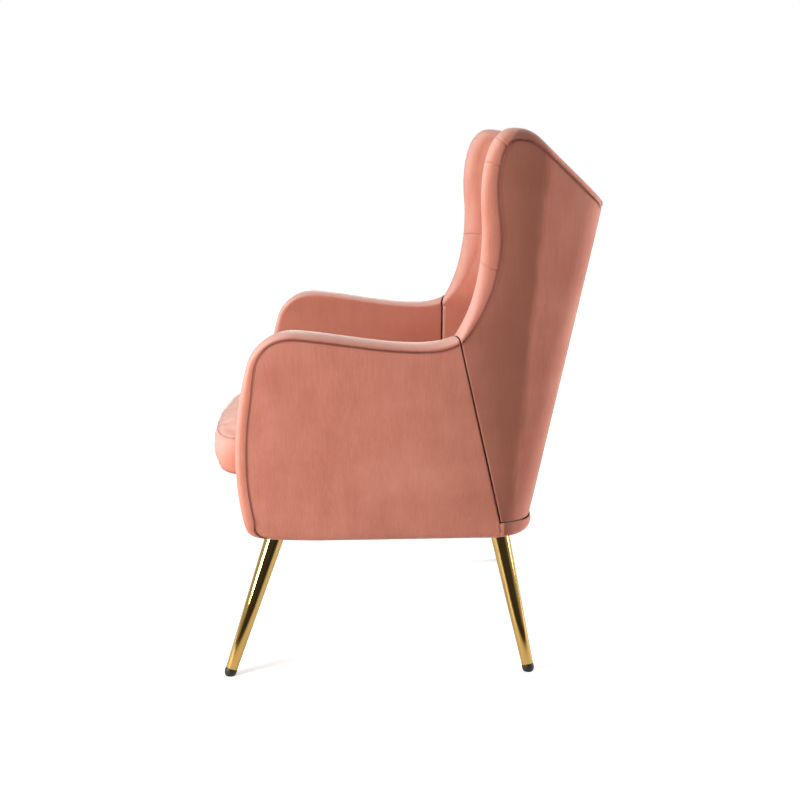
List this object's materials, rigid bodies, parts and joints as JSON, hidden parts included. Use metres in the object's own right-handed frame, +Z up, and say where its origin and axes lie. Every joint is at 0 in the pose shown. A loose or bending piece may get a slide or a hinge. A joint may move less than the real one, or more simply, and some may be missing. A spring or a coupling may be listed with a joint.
{
  "type": "upholstered armchair",
  "caption": "High wing-back armchair with padded arms, a loose seat cushion and splayed, tapered metal legs with foot caps.",
  "frame": {"origin": "on the floor, under the middle of the chair's bounding box", "axes": "+Z up, the chair faces -Y, +X is the left of the person sitting in it"},
  "size_m": [0.6692, 0.7452, 1],
  "materials": {
    "velvet": "matte",
    "timber": "matte",
    "spring_steel": "satin",
    "leg_metal": "polished",
    "foot_plastic": "satin",
    "dust_cloth": "matte",
    "webbing": "matte"
  },
  "bodies": {
    "chair_body": {"seat_front_rail": "timber", "seat_rear_rail": "timber", "seat_side_rail_left": "timber", "seat_side_rail_right": "timber", "corner_block_front_left": "timber", "corner_block_front_right": "timber", "corner_block_rear_left": "timber", "corner_block_rear_right": "timber", "arm_frame_left": "timber", "arm_frame_right": "timber", "rear_sill": "timber", "seat_spring_1": "spring_steel", "seat_spring_2": "spring_steel", "seat_spring_3": "spring_steel", "seat_spring_4": "spring_steel", "seat_spring_5": "spring_steel", "seat_deck": "webbing", "dust_cover": "dust_cloth", "arm_cover_left": "velvet", "arm_cover_right": "velvet", "front_border": "velvet", "rear_base_cover": "velvet", "back_post_left": "timber", "back_post_right": "timber", "back_top_rail": "timber", "back_lumbar_rail": "timber", "back_bottom_rail": "timber", "wing_frame_left": "timber", "wing_frame_right": "timber", "back_strap_1": "webbing", "back_strap_2": "webbing", "back_strap_3": "webbing", "inside_back_pad": "velvet", "wing_pad_left": "velvet", "wing_pad_right": "velvet", "wing_outer_left": "velvet", "wing_outer_right": "velvet", "outside_back": "velvet", "channel_bracket_left": "spring_steel", "channel_bracket_right": "spring_steel", "tongue_bracket_left": "spring_steel", "tongue_bracket_right": "spring_steel", "leg_plate_front_left": "spring_steel", "leg_plate_front_right": "spring_steel", "leg_screw_front_left": "spring_steel", "leg_screw_front_right": "spring_steel", "leg_tube_front_left": "leg_metal", "leg_tube_front_right": "leg_metal", "foot_cap_front_left": "foot_plastic", "foot_cap_front_right": "foot_plastic", "leg_plate_rear_left": "spring_steel", "leg_plate_rear_right": "spring_steel", "leg_screw_rear_left": "spring_steel", "leg_screw_rear_right": "spring_steel", "leg_tube_rear_left": "leg_metal", "leg_tube_rear_right": "leg_metal", "foot_cap_rear_left": "foot_plastic", "foot_cap_rear_right": "foot_plastic"},
    "loose_cushion": {"seat_cushion": "velvet"}
  },
  "joints": [
    {"name": "seat_cushion_lift", "type": "slide", "parent": "chair_body", "child": "loose_cushion", "axis": [0, -0.342, 0.9397], "range_m": [0, 0.36]}
  ]
}
